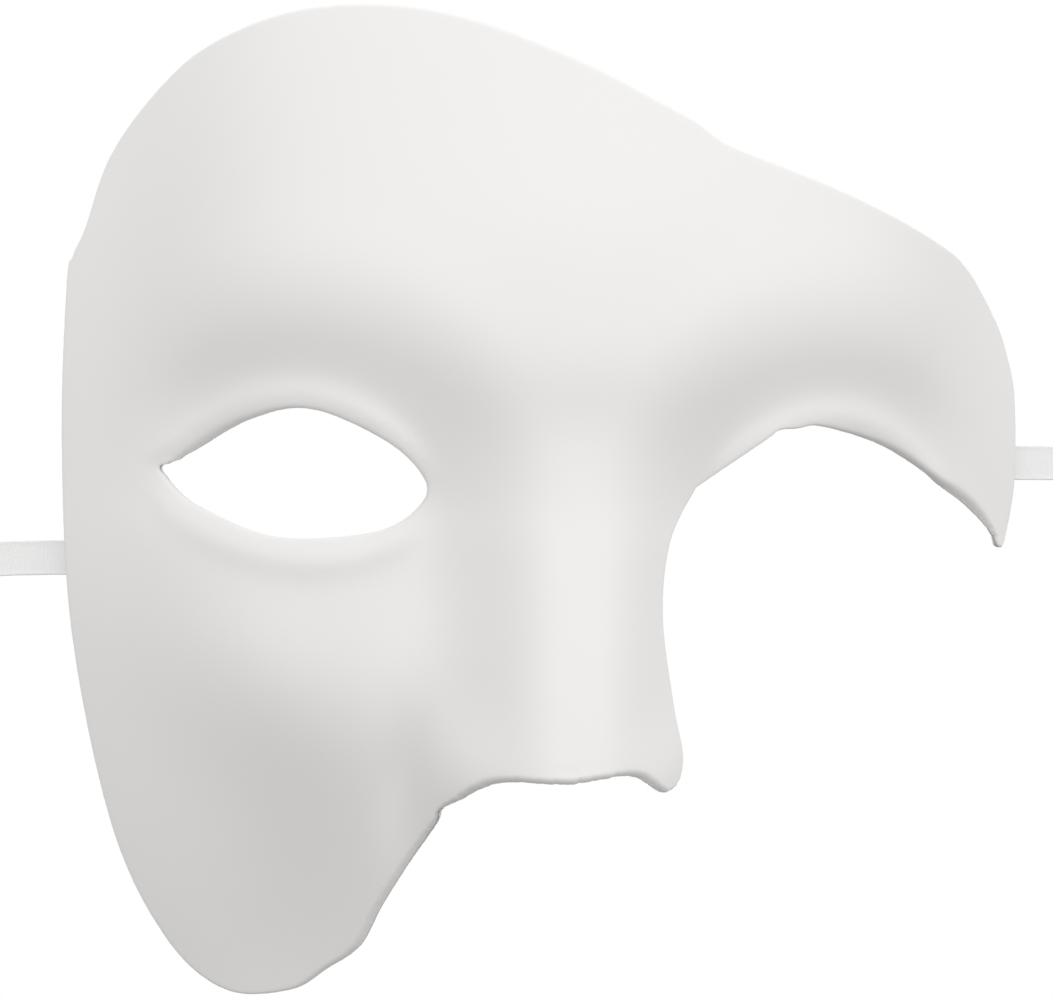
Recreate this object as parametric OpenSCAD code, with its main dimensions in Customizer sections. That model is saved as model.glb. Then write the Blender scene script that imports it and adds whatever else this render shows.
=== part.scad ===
// Half-face masquerade mask with two ribbon ties, in millimetres.
// +Z is up, the face looks along -Y, and +X is the wearer's left.
// The origin is where the bridge of the wearer's nose sits, 5 mm behind the mask's outer face.

/* [Shell] */
// Wall thickness of the moulded shell
wall = 1.4; // [1.0:0.1:2.0]
// Half width of the head form that the shell is moulded on
head_half_w = 102.5; // [100:0.5:110]
// Depth of the head form from front to side
head_depth = 90; // [70:1:100]

/* [Brow and eyes] */
// How far the eye socket is set back from the brow
socket_depth = 6.9; // [3:0.1:9]
// Height of the brow line above the origin
brow_z = 21.3; // [18:0.1:26]
// How far the brow swells above the socket
brow_swell = 1.0; // [0:0.1:2]
// How far the upper lid stands out
upper_lid = 1.35; // [0:0.05:2]
// How far the lower lid stands out
lower_lid = 0.95; // [0:0.05:2]

/* [Nose] */
// Forward slope of the nose ridge
nose_slope = 0.37; // [0.3:0.01:0.45]
// Half width of the nose at the bridge
nose_half_w = 12.4; // [10:0.1:15]
// How far the nostril wing stands out
nostril_wing = 5.3; // [2:0.1:7]

/* [Cheeks] */
// How far the cheekbone stands out
cheekbone = 5; // [0:0.5:8]
// How far the lower cheek is set back
cheek_hollow = 13.4; // [5:0.1:16]

/* [Ribbon ties] */
// Width of the ribbon
ribbon_w = 6.35; // [5:0.05:8]
// Thickness of the ribbon
ribbon_t = 0.5; // [0.3:0.1:0.6]
// Thickness of the glue bed under each ribbon
glue_t = 0.4; // [0.2:0.1:0.5]
// Thickness of the cloth patch over each ribbon's end
patch_t = 0.6; // [0.4:0.1:1.0]

/* [Hidden] */

// The rim in the front view, [x, z], clockwise from the top. A smooth closed curve runs through it.
RIM = [
    // forehead, from its top down to the wearer's left temple
    [-35, 83.5], [-19, 81], [0, 74], [13.5, 67.5], [20.5, 64], [27, 60], [47, 53.5],
    [68.5, 45.5], [76, 41], [82.5, 32.5], [85.5, 26], [87.5, 18], [88, 2], [86, -8],
    // point below the temple, and the arch over the wearer's left eye
    [84.5, -9.5], [82.5, -6.5], [75.5, -1], [60, 7.5], [46, 11], [40.5, 10.5], [37, 10],
    [35, 8.5], [24, 0.5], [22, -1.5],
    // cut along the left side of the nose and under its tip
    [17.5, -11], [16.5, -24], [19, -39], [21, -49], [17.5, -54], [10, -51], [-1, -52.5],
    [-12, -53],
    // from the right nostril down to the point of the cheek
    [-18.5, -57], [-20.5, -58.5], [-21.5, -62], [-28.5, -76.5], [-32, -85], [-37.5, -90],
    [-44, -94.5],
    // round the cheek and up the wearer's right side
    [-55.5, -95], [-66.5, -86], [-77, -66], [-85.5, -31], [-88.5, 4], [-88.5, 33], [-87.5, 38],
    [-85.5, 43], [-81.5, 56], [-74, 67.5], [-65, 76], [-51, 82]
];
// The edge of the eye opening in the front view, [x, z]
EYE = [
    [-70.5, 0], [-69, 0.5], [-64.5, 3], [-56.5, 8.5], [-48, 11], [-39.5, 9], [-29.5, 3.5],
    [-25, -3], [-30.5, -9], [-41, -11.5], [-53, -11.5], [-65, -6.5], [-70, -1.5]
];
// Points on the rim curves between two given points
rim_steps = 6;
eye_steps = 6;

// The head form stands furthest forward at this height, and curves back above and below it
head_z = 2;
head_up = 150;
head_down = 160;
head_cut = 0.02;
// The two sides of the face meet in a rounding of this radius at the middle
middle_round = 1;
// Step over which the slope of the face is measured
slope_step = 0.1;

// Eye socket. A place where one shape fades into the next is given as [place, length of the fade].
BROW_MIDDLE_X = 48;
brow_bend = 0.011;
SOCKET_TOP_FADE = 7;
SOCKET_FLOOR = [-8, 5];
SOCKET_INNER = [23.5, 19];
SOCKET_OUTER = [70, 6.5];
// Swell of the brow: its height above the brow line, its half height, and the half width left flat
brow_swell_z = 14.5;
brow_swell_h = 10;
brow_flat = 14;

// Nose ridge: where it starts, where it spreads, how much wider it gets, and how flat its top is
RIDGE_START = [9.5, 3.5];
RIDGE_SPREAD = [-25, 15];
ridge_wider = 3.2;
ridge_power = 2.7;

// Lid lines, z = c0 + c1 s + c2 s s with s = (|x| - middle) / lid_half_w: [middle, c0, c1, c2]
UPPER_LINE = [47, 12.6, 0.7, -11.2];
LOWER_LINE = [45.5, -8.6, 0.1, 7.9];
lid_half_w = 23;
// Each lid's roll is a soft ridge beyond its line: [slant of the line, distance, half width]
UPPER_ROLL = [0.82, 0.2, 2.4];
LOWER_ROLL = [0.9, 6.4, 3];
lid_fade = 2;
LID_INNER = [25.5, 2.5];
LID_OUTER = [71, 2.5];

// Soft relief of the face. Each is [x, z, half width, half height], the same on both sides.
NOSTRIL = [17.3, -53.5, 7.5, 10.5];
NOSTRIL_CREASE = [26, -53.5, 4.5, 11.5];
CHEEKBONE = [54, -35.5, 23, 16];
LOWER_CHEEK = [41, -94, 21, 38];
NOSE_SIDE = [25, -11.5, 10, 19];
FOREHEAD = [0, 31.5, 74, 28.5];
GLABELLA = [0, 18.5, 17, 11];
TEMPLE = [79.5, 13.5, 17.5, 88];
crease_depth = 3.0;
nose_side_depth = 6.0;
forehead_rise = 5.2;
glabella_rise = 1.4;
temple_depth = 10.5;
cheekbone_turn = 38;

// Grid of the moulded sheet that the rim is cut from
grid_bottom = -98;
grid_top = 87;
grid_half_w = 92;
grid_columns = 62;
grid_rows = 62;
// The sheet's sides stay where the head form still has this share of its roundness left
head_edge = 0.94;
// The rim is cut along lines from this point behind the face, through a plane in front of it
cut_back_y = 130;
cut_front_y = -60;

// Where each ribbon is glued to the inner face, and where its patch lies: [x, z] of the middle
ANCHOR_RIGHT = [-80, -17.5];
ANCHOR_LEFT = [81, 6];
PATCH_RIGHT = [-78, -17.5];
PATCH_LEFT = [79, 7.5];
// Sizes in the front view, [width, height]
glue_size = [8, 8.4];
patch_size = [11, 10.8];
// How far past the glue a patch starts to rise over the ribbon, how softly, and its room above it
patch_margin = 0.6;
patch_fade = 0.5;
patch_room = 0.4;
// Clearance between layers that are glued to each other
fit_gap = 0.05;
// Thickness of a ribbon's two edges, as a share of its middle
ribbon_edge = 0.4;

// Where each ribbon lies glued along the inner face: x in the front view, at the anchor's height
GLUED_RIGHT = [-76, -79, -82, -85, -88];
GLUED_LEFT = [77.5, 80, 82.5, 85.3, 88];
// Room between a ribbon's middle and the glue, as the face curves away under its edges
ribbon_room = 0.15;

// The free part of each ribbon, [x, y, z], out to the side and then down. It leaves the inner face
// at the first point, and follows the last glued point when the face moves.
FREE_RIGHT = [
    [-86.4, 54.1, -17.5], [-89.2, 56.5, -17.6], [-92.4, 58.2, -17.8], [-96, 59, -18],
    [-100, 59, -18.3], [-104, 59, -18.7], [-109, 59, -20], [-114, 59, -22.5], [-119, 59, -26.5],
    [-123, 59, -32], [-126, 59, -39], [-127, 59, -48], [-127, 59, -62], [-125, 60, -80],
    [-124, 61, -100], [-125, 62, -120], [-127, 62, -140], [-128, 61, -160], [-127, 60, -180],
    [-125, 59, -200], [-123, 60, -220], [-123, 62, -240], [-125, 63, -260], [-127, 63, -280],
    [-127, 62, -308]
];
FREE_LEFT = [
    [86.5, 53.6, 6], [89.6, 55.9, 6.1], [93, 57.2, 6.2], [96.6, 57.7, 6.3], [100, 57.7, 6.4],
    [104, 57.7, 6.3], [109, 58, 5.5], [114, 58, 3.5], [119, 58, 0], [123, 58, -5],
    [126, 58, -12], [127, 58, -21], [127, 59, -35], [126, 60, -55], [124, 61, -75],
    [123, 61, -95], [124, 60, -115], [126, 59, -135], [127, 59, -155], [126, 60, -175],
    [124, 62, -195], [123, 63, -215], [124, 63, -235], [126, 62, -255], [127, 61, -282]
];
// Direction across the ribbon at each point of a route: upright at first, then turned as it hangs
ACROSS_RIGHT = [
    for (i = [0 : 9]) [0, 0, 1],
    [0, 0.5, 0.87], [0, 0.87, 0.5], [0, 1, 0.2], [0, 1, 0], [0, 1, 0],
    [0, 1, 0], [0.2, 0.98, 0], [0.4, 0.9, 0], [0.6, 0.8, 0], [0.8, 0.6, 0],
    [0.9, 0.4, 0], [0.98, 0.2, 0], [1, 0, 0], [0.98, -0.2, 0], [0.95, -0.3, 0],
    [0.98, -0.2, 0], [1, 0, 0], [0.98, 0.2, 0], [0.95, 0.3, 0]
];
ACROSS_LEFT = [for (v = ACROSS_RIGHT) [-v[0], v[1], v[2]]];

// A smooth step from 0 to 1
function rise(t) = 1 / (1 + exp(-2 * t));

// A smooth step from 1 to 0 as v passes a place, given as [place, length of the fade]
function below(v, fade) = rise((fade[0] - v) / fade[1]);

// A soft ridge of height 1 along a line
function ridge(distance, half_w) = exp(-pow(distance / half_w, 2));

// A soft round bump of height 1, turned by an angle in the front view
function bump(x, z, b, turn = 0) =
    let (dx = x - b[0], dz = z - b[1])
    ridge(cos(turn) * dx + sin(turn) * dz, b[2]) * ridge(cos(turn) * dz - sin(turn) * dx, b[3]);

// How far up or down the head form a height lies, as a share of its curve
function head_share(z) = (z - head_z) / (z > head_z ? head_up : head_down);

// Depth of the plain head form
function head_y(x, z) =
    head_depth * (1 - sqrt(max(1 - pow(x / head_half_w, 2) - pow(head_share(z), 2), head_cut)));

// How far the socket goes in, less the swell of the brow above it
function eye_socket(a, z) =
    let (line = brow_z - brow_bend * pow(a - BROW_MIDDLE_X, 2))
    let (inner = (1 - below(z, SOCKET_FLOOR)) * (1 - below(a, SOCKET_INNER)))
    let (inset = inner * below(z, [line, SOCKET_TOP_FADE]))
    let (swell = ridge(z - line - brow_swell_z, brow_swell_h) * (1 - ridge(a, brow_flat)))
    (socket_depth * inset - brow_swell * swell) * below(a, SOCKET_OUTER);

// How far the nose ridge stands out
function nose_ridge(a, z) =
    let (out = nose_slope * RIDGE_START[1] * ln(1 + exp((RIDGE_START[0] - z) / RIDGE_START[1])))
    out * exp(-pow(a / (nose_half_w + ridge_wider * below(z, RIDGE_SPREAD)), ridge_power));

// How far a point lies above a lid line, as [middle, c0, c1, c2]
function over_line(a, z, line) =
    let (s = (a - line[0]) / lid_half_w)
    z - line[1] - line[2] * s - line[3] * s * s;

// How far the two lids stand out around an eye opening
function lids(a, z) =
    let (over = UPPER_ROLL[0] * over_line(a, z, UPPER_LINE))
    let (under = -LOWER_ROLL[0] * over_line(a, z, LOWER_LINE))
    let (upper = rise((over - under) / lid_fade), d = max(over, under))
    let (ends = (1 - below(a, LID_INNER)) * below(a, LID_OUTER))
    ends * (upper * upper_lid * ridge(d - UPPER_ROLL[1], UPPER_ROLL[2])
        + (1 - upper) * lower_lid * ridge(d - LOWER_ROLL[1], LOWER_ROLL[2]));

// Depth of the mask's outer face at a point of the front view
function face_y(x, z) =
    let (a = sqrt(x * x + middle_round * middle_round) - middle_round)
    head_y(x, z) + eye_socket(a, z) - nose_ridge(a, z) - lids(a, z)
    - nostril_wing * bump(a, z, NOSTRIL) + crease_depth * bump(a, z, NOSTRIL_CREASE)
    - cheekbone * bump(a, z, CHEEKBONE, cheekbone_turn) + cheek_hollow * bump(a, z, LOWER_CHEEK)
    + nose_side_depth * bump(a, z, NOSE_SIDE) + temple_depth * bump(a, z, TEMPLE)
    - forehead_rise * bump(a, z, FOREHEAD) - glabella_rise * bump(a, z, GLABELLA);

function unit(v) = v / norm(v);

// A point at a given depth behind the outer face, measured square to it
function behind(x, z, depth) =
    let (y = face_y(x, z), h = slope_step)
    let (into = unit([y - face_y(x + h, z), h, y - face_y(x, z + h)]))
    [x, y, z] + depth * into;

// A point on the smooth curve through p1 and p2, at t from 0 to 1
function curve_point(p0, p1, p2, p3, t) =
    0.5 * (2 * p1 + (p2 - p0) * t + (2 * p0 - 5 * p1 + 4 * p2 - p3) * t * t
        + (3 * p1 - p0 - 3 * p2 + p3) * t * t * t);

// A closed smooth curve through a list of points
function closed_curve(p, steps) =
    let (n = len(p))
    [for (i = [0 : n - 1], k = [0 : steps - 1])
        curve_point(p[(i + n - 1) % n], p[i], p[(i + 1) % n], p[(i + 2) % n], k / steps)];

// An open smooth curve through a list of points
function open_curve(p, steps) =
    let (n = len(p) - 1)
    concat([for (i = [0 : n - 1], k = [0 : steps - 1])
        curve_point(p[max(i - 1, 0)], p[i], p[i + 1], p[min(i + 2, n)], k / steps)], [p[n]]);

// A front-view outline carried along the cut lines to the plane in front of the face
function on_cut_plane(outline) = [for (p = outline)
    let (k = (cut_back_y - cut_front_y) / (cut_back_y - face_y(p[0], p[1]))) [p[0] * k, -p[1] * k]];

// A ribbon's whole route: along the inner face at one height, then free
function ribbon_route(glued, z, free) =
    let (depth = wall + 2 * fit_gap + glue_t + ribbon_t / 2 + ribbon_room)
    let (held = [for (x = glued) behind(x, z, depth)])
    let (shift = held[len(held) - 1] - free[0])
    concat(held, [for (i = [1 : len(free) - 1]) free[i] + shift]);

// Triangles of a closed sheet whose two faces are grids of rows by columns points
function sheet_faces(rows, columns) =
    let (n = rows * columns, last = columns - 1)
    concat(
        [for (r = [0 : rows - 2], c = [0 : columns - 2]) let (i = r * columns + c)
            each [[i, i + columns, i + columns + 1], [i, i + columns + 1, i + 1]]],
        [for (r = [0 : rows - 2], c = [0 : columns - 2]) let (i = n + r * columns + c)
            each [[i, i + columns + 1, i + columns], [i, i + 1, i + columns + 1]]],
        [for (r = [0 : rows - 2]) let (i = r * columns)
            each [[i, n + i + columns, i + columns], [i, n + i, n + i + columns]]],
        [for (r = [0 : rows - 2]) let (i = r * columns + last)
            each [[i, i + columns, n + i + columns], [i, n + i + columns, n + i]]],
        [for (c = [0 : columns - 2]) let (i = c)
            each [[i, i + 1, n + i + 1], [i, n + i + 1, n + i]]],
        [for (c = [0 : columns - 2]) let (i = (rows - 1) * columns + c)
            each [[i, n + i + 1, i + 1], [i, n + i, n + i + 1]]]
    );

// The whole moulded sheet, before its rim is cut
module moulded_sheet() {
    grid = [for (r = [0 : grid_rows - 1])
        let (z = grid_bottom + (grid_top - grid_bottom) * r / (grid_rows - 1))
        let (half = min(grid_half_w, head_half_w * sqrt(head_edge - pow(head_share(z), 2))))
        for (c = [0 : grid_columns - 1]) [half * (2 * c / (grid_columns - 1) - 1), z]];
    polyhedron(
        concat([for (g = grid) behind(g[0], g[1], 0)], [for (g = grid) behind(g[0], g[1], wall)]),
        sheet_faces(grid_rows, grid_columns));
}

// Everything inside the rim and outside the eye opening, tapering to the point behind the face
module rim_cutter() {
    translate([0, cut_front_y, 0])
        rotate([-90, 0, 0])
            linear_extrude(height = cut_back_y - cut_front_y, scale = 0)
                difference() {
                    polygon(on_cut_plane(closed_curve(RIM, rim_steps)));
                    polygon(on_cut_plane(closed_curve(EYE, eye_steps)));
                }
}

module mask_shell() {
    color([0.93, 0.93, 0.91])
        resize([0, 0, 0])
            intersection() {
                moulded_sheet();
                rim_cutter();
            }
}

// A thin pad on the inner face. Its two faces lie at the depths that near and far give.
module inner_pad(at, size, near, far, cells) {
    grid = [for (r = [0 : cells], c = [0 : cells])
        at + [size[0] * (c / cells - 0.5), size[1] * (r / cells - 0.5)]];
    polyhedron(
        concat([for (i = [0 : len(grid) - 1]) behind(grid[i][0], grid[i][1], near[i])],
            [for (i = [0 : len(grid) - 1]) behind(grid[i][0], grid[i][1], far[i])]),
        sheet_faces(cells + 1, cells + 1));
}

// Glue between the shell and the ribbon's end
module glue_bed(at) {
    cells = 6;
    near = [for (i = [0 : (cells + 1) * (cells + 1) - 1]) wall + fit_gap];
    color([0.9, 0.88, 0.8])
        inner_pad(at, glue_size, near, near + [for (d = near) glue_t], cells);
}

// Cloth glued over the ribbon's end. It rises over the ribbon and its glue.
module cloth_patch(at, glue_at) {
    cells = 16;
    lift = glue_t + ribbon_t + patch_room;
    near = [for (r = [0 : cells], c = [0 : cells])
        let (x = at[0] + patch_size[0] * (c / cells - 0.5), z = at[1] + patch_size[1] * (r / cells - 0.5))
        let (past_side = glue_size[0] / 2 + patch_margin - abs(glue_at[0]) + abs(x))
        let (past_end = glue_size[1] / 2 + patch_margin - abs(z - glue_at[1]))
        wall + 2 * fit_gap + lift * rise(past_end / patch_fade) * rise(past_side / patch_fade)];
    color([0.95, 0.95, 0.94])
        inner_pad(at, patch_size, near, near + [for (d = near) patch_t], cells);
}

// A flat ribbon swept along its route, eight corners to a ring
module ribbon(route, across) {
    steps = 2;
    sides = 8;
    path = open_curve(route, steps);
    wide = open_curve(across, steps);
    last = len(path) - 1;
    rings = [for (i = [0 : last])
        let (along = unit(path[min(i + 1, last)] - path[max(i - 1, 0)]))
        let (w = unit(wide[i] - (wide[i] * along) * along), t = cross(along, w))
        for (k = [0 : sides - 1])
            let (c = cos(360 * (k + 0.5) / sides), s = sin(360 * (k + 0.5) / sides))
            path[i] + w * sign(c) * (ribbon_w / 2 - (abs(c) < abs(s) ? ribbon_t / 2 : 0))
                + t * sign(s) * ribbon_t / 2 * (abs(c) < abs(s) ? 1 : ribbon_edge)];
    // the two broad faces are split along the same diagonal, so that a twist keeps its thickness
    walls = [for (i = [0 : last - 1], k = [0 : sides - 1])
        let (a = i * sides + k, b = i * sides + (k + 1) % sides)
        each (k < sides / 2 ? [[a, b + sides, b], [a, a + sides, b + sides]]
            : [[a, a + sides, b], [b, a + sides, b + sides]])];
    ends = [for (k = [1 : sides - 2]) each
        [[0, k, k + 1], [last * sides, last * sides + k + 1, last * sides + k]]];
    color([0.97, 0.97, 0.97])
        polyhedron(rings, concat(walls, ends));
}

module ribbon_right() {
    ribbon(ribbon_route(GLUED_RIGHT, ANCHOR_RIGHT[1], FREE_RIGHT), ACROSS_RIGHT);
}

module ribbon_left() {
    ribbon(ribbon_route(GLUED_LEFT, ANCHOR_LEFT[1], FREE_LEFT), ACROSS_LEFT);
}

module glue_right() {
    glue_bed(ANCHOR_RIGHT);
}

module glue_left() {
    glue_bed(ANCHOR_LEFT);
}

module patch_right() {
    cloth_patch(PATCH_RIGHT, ANCHOR_RIGHT);
}

module patch_left() {
    cloth_patch(PATCH_LEFT, ANCHOR_LEFT);
}

mask_shell();
ribbon_right();
ribbon_left();
glue_right();
glue_left();
patch_right();
patch_left();
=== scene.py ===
import math

import bpy
import numpy as np
from mathutils import Matrix, Vector
from mathutils.geometry import delaunay_2d_cdt
from mathutils.kdtree import KDTree


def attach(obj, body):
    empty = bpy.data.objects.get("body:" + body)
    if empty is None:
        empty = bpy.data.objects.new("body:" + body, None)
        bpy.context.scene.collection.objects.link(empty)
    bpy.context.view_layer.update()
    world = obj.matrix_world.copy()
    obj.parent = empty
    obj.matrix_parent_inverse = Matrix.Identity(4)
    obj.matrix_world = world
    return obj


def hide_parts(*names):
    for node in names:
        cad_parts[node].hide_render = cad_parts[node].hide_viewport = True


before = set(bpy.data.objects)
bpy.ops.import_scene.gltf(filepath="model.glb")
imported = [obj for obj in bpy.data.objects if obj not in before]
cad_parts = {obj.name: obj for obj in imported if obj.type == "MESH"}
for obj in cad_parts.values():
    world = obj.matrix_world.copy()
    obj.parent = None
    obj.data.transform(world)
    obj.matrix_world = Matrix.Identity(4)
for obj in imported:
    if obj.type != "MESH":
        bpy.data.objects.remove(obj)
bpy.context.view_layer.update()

MM = 0.001

# ---------------------------------------------------------------- camera
# The camera stands a little to the wearer's right of straight ahead. The mask leans over by
# CAMERA_ROLL in the picture. Lengths in this block are in metres.
CAMERA_AZIMUTH = -6.5
CAMERA_ROLL = 2.0
CAMERA_DISTANCE = 1.0
VIEW_WIDTH = 0.1843
VIEW_RIGHT = -0.0085
VIEW_UP = -0.0035
SENSOR = 36.0
CLIP = (0.05, 50)


def make_camera():
    azimuth, roll = math.radians(CAMERA_AZIMUTH), math.radians(CAMERA_ROLL)
    back = Vector((math.sin(azimuth), -math.cos(azimuth), 0))
    level = Vector((math.cos(azimuth), math.sin(azimuth), 0))
    right = level * math.cos(roll) + Vector((0, 0, math.sin(roll)))
    up = back.cross(right)
    aim = right * VIEW_RIGHT + up * VIEW_UP
    look = (back * CAMERA_DISTANCE - aim).normalized()
    side = up.cross(look).normalized()
    data = bpy.data.cameras.new("camera")
    data.sensor_width = SENSOR
    data.lens = SENSOR * CAMERA_DISTANCE / VIEW_WIDTH
    data.clip_start, data.clip_end = CLIP
    camera = bpy.data.objects.new("camera", data)
    turn = Matrix((side, look.cross(side), look)).transposed().to_4x4()
    camera.matrix_world = Matrix.Translation(back * CAMERA_DISTANCE) @ turn
    bpy.context.collection.objects.link(camera)
    bpy.context.scene.camera = camera


make_camera()

# ---------------------------------------------------------------- the face, as part.scad has it
# Lengths from here on are in millimetres, and turn into metres when a mesh is made.
WALL = 1.4
GLUE_T = 0.4
CAD_RIBBON_T = 0.5
FIT_GAP = 0.05

# The rim and the eye opening in the front view, and the radius of the rounded edge there:
# (x, z, radius)
RIM = [
    # forehead, from its top down to the wearer's left temple
    (-35, 83.5, 1.1), (-19, 81, 1.1), (0, 74, 1.1), (13.5, 67.5, 1.1), (20.5, 64, 1.1),
    (27, 60, 1.1), (47, 53.5, 1.1), (68.5, 45.5, 1.1), (76, 41, 1.1), (82.5, 32.5, 1.1),
    (85.5, 26, 1.1), (87.5, 18, 1.1), (88, 2, 1), (86, -8, 0.5),
    # point below the temple, and the arch over the wearer's left eye
    (84.5, -9.5, 0.3), (82.5, -6.5, 0.7), (75.5, -1, 1.3), (60, 7.5, 1.3), (46, 11, 1),
    (40.5, 10.5, 0.8), (37, 10, 0.7), (35, 8.5, 0.6), (24, 0.5, 0.6), (22, -1.5, 0.6),
    # cut along the left side of the nose and under its tip
    (17.5, -11, 0.6), (16.5, -24, 0.8), (19, -39, 0.9), (21, -49, 1), (17.5, -54, 1),
    (10, -51, 1.2), (-1, -52.5, 1.1), (-12, -53, 1.3),
    # from the right nostril down to the point of the cheek
    (-18.5, -57, 0.9), (-20.5, -58.5, 0.3), (-21.5, -62, 0.8), (-28.5, -76.5, 1.2),
    (-32, -85, 1.2), (-37.5, -90, 1.2), (-44, -94.5, 1.1),
    # round the cheek and up the wearer's right side
    (-55.5, -95, 1), (-66.5, -86, 1), (-77, -66, 1), (-85.5, -31, 1), (-88.5, 4, 1),
    (-88.5, 33, 1), (-87.5, 38, 1), (-85.5, 43, 1), (-81.5, 56, 1), (-74, 67.5, 1.1),
    (-65, 76, 1.1), (-51, 82, 1.1),
]
EYE = [
    (-70.5, 0, 0.3), (-69, 0.5, 0.4), (-64.5, 3, 1.3), (-56.5, 8.5, 1.5), (-48, 11, 1.4),
    (-39.5, 9, 1.7), (-29.5, 3.5, 1.8), (-25, -3, 1.1), (-30.5, -9, 0.9), (-41, -11.5, 1.2),
    (-53, -11.5, 1.2), (-65, -6.5, 1.1), (-70, -1.5, 0.5),
]


# The head form: half width and depth, then the height where it stands furthest forward, how far
# it curves back above and below that, and the least share of its roundness that is kept
HEAD_HALF_W = 102.5
HEAD_DEPTH = 90
HEAD_Z = 2
HEAD_UP = 150
HEAD_DOWN = 160
HEAD_CUT = 0.02
# The two sides of the face meet in a rounding of this radius at the middle
MIDDLE_ROUND = 1
# Step over which the slope of the face is measured
SLOPE_STEP = 0.1

# Eye socket and brow. A place where one shape fades into the next is (place, length of the fade).
SOCKET_DEPTH = 6.9
BROW_Z = 21.3
BROW_MIDDLE_X = 48
BROW_BEND = 0.011
SOCKET_TOP_FADE = 7
SOCKET_FLOOR = (-8, 5)
SOCKET_INNER = (23.5, 19)
SOCKET_OUTER = (70, 6.5)
# Swell of the brow: its height above the brow line, its half height, and the half width left flat
BROW_SWELL_Z = 14.5
BROW_SWELL_H = 10
BROW_FLAT = 14

# Nose ridge: its slope and half width, where it starts, where it spreads, how much wider it gets,
# and how flat its top is
NOSE_SLOPE = 0.37
NOSE_HALF_W = 12.4
RIDGE_START = (9.5, 3.5)
RIDGE_SPREAD = (-25, 15)
RIDGE_WIDER = 3.2
RIDGE_POWER = 2.7

# Lid lines, z = c0 + c1 s + c2 s s with s = (|x| - middle) / LID_HALF_W: (middle, c0, c1, c2)
UPPER_LINE = (47, 12.6, 0.7, -11.2)
LOWER_LINE = (45.5, -8.6, 0.1, 7.9)
LID_HALF_W = 23
# Each lid stands out by this much, in a soft ridge beyond its line: (slant of the line, distance,
# half width)
UPPER_LID = 1.35
LOWER_LID = 0.95
UPPER_ROLL = (0.82, 0.2, 2.4)
LOWER_ROLL = (0.9, 6.4, 3)
LID_FADE = 2
LID_INNER = (25.5, 2.5)
LID_OUTER = (71, 2.5)

# Soft relief of the face, the same on both sides: (middle, half size)
NOSTRIL = (17.3, -53.5), (7.5, 10.5)
NOSTRIL_CREASE = (26, -53.5), (4.5, 11.5)
CHEEKBONE = (54, -35.5), (23, 16)
LOWER_CHEEK = (41, -94), (21, 38)
NOSE_SIDE = (25, -11.5), (10, 19)
FOREHEAD = (0, 31.5), (74, 28.5)
GLABELLA = (0, 18.5), (17, 11)
TEMPLE = (79.5, 13.5), (17.5, 88)
# How far each of them goes in or stands out, and the cheekbone's turn in degrees
NOSTRIL_WING = 5.3
CREASE_DEPTH = 3.0
CHEEKBONE_RISE = 5
CHEEK_HOLLOW = 13.4
NOSE_SIDE_DEPTH = 6.0
FOREHEAD_RISE = 5.2
GLABELLA_RISE = 1.4
TEMPLE_DEPTH = 10.5
CHEEKBONE_TURN = 38


def rise(t):
    """A smooth step from 0 to 1."""
    return 0.5 + 0.5 * np.tanh(t)


def below(v, place, fade):
    """A smooth step from 1 to 0 as v passes a place."""
    return rise((place - v) / fade)


def ridge(distance, half_w):
    """A soft ridge of height 1 along a line."""
    return np.exp(-((distance / half_w) ** 2))


def bump(x, z, at, size, turn=0.0):
    """A soft round bump of height 1, turned by an angle in degrees in the front view."""
    c, s = math.cos(math.radians(turn)), math.sin(math.radians(turn))
    dx, dz = x - at[0], z - at[1]
    return ridge(c * dx + s * dz, size[0]) * ridge(c * dz - s * dx, size[1])


def unit(v):
    return v / np.linalg.norm(v, axis=-1, keepdims=True)


def head_y(x, z):
    """Depth of the plain head form."""
    k = (z - HEAD_Z) / np.where(z > HEAD_Z, HEAD_UP, HEAD_DOWN)
    return HEAD_DEPTH * (1 - np.sqrt(np.maximum(1 - (x / HEAD_HALF_W) ** 2 - k * k, HEAD_CUT)))


def eye_socket(a, z):
    """How far the socket goes in, less the swell of the brow above it."""
    line = BROW_Z - BROW_BEND * (a - BROW_MIDDLE_X) ** 2
    inset = SOCKET_DEPTH * (1 - below(z, *SOCKET_FLOOR)) * (1 - below(a, *SOCKET_INNER))
    inset = inset * below(z, line, SOCKET_TOP_FADE)
    swell = ridge(z - line - BROW_SWELL_Z, BROW_SWELL_H) * (1 - ridge(a, BROW_FLAT))
    return (inset - swell) * below(a, *SOCKET_OUTER)


def nose_ridge(a, z):
    """How far the nose ridge stands out."""
    start, fade = RIDGE_START
    out = NOSE_SLOPE * fade * np.logaddexp(0, (start - z) / fade)
    half_w = NOSE_HALF_W + RIDGE_WIDER * below(z, *RIDGE_SPREAD)
    return out * np.exp(-((a / half_w) ** RIDGE_POWER))


def over_line(a, z, line):
    """How far a point lies above a lid line."""
    s = (a - line[0]) / LID_HALF_W
    return z - line[1] - line[2] * s - line[3] * s * s


def lids(a, z):
    """How far the two lids stand out around an eye opening."""
    over = over_line(a, z, UPPER_LINE) * UPPER_ROLL[0]
    under = -over_line(a, z, LOWER_LINE) * LOWER_ROLL[0]
    upper, d = rise((over - under) / LID_FADE), np.maximum(over, under)
    ends = (1 - below(a, *LID_INNER)) * below(a, *LID_OUTER)
    upper_lid = upper * UPPER_LID * ridge(d - UPPER_ROLL[1], UPPER_ROLL[2])
    lower_lid = (1 - upper) * LOWER_LID * ridge(d - LOWER_ROLL[1], LOWER_ROLL[2])
    return ends * (upper_lid + lower_lid)


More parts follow.
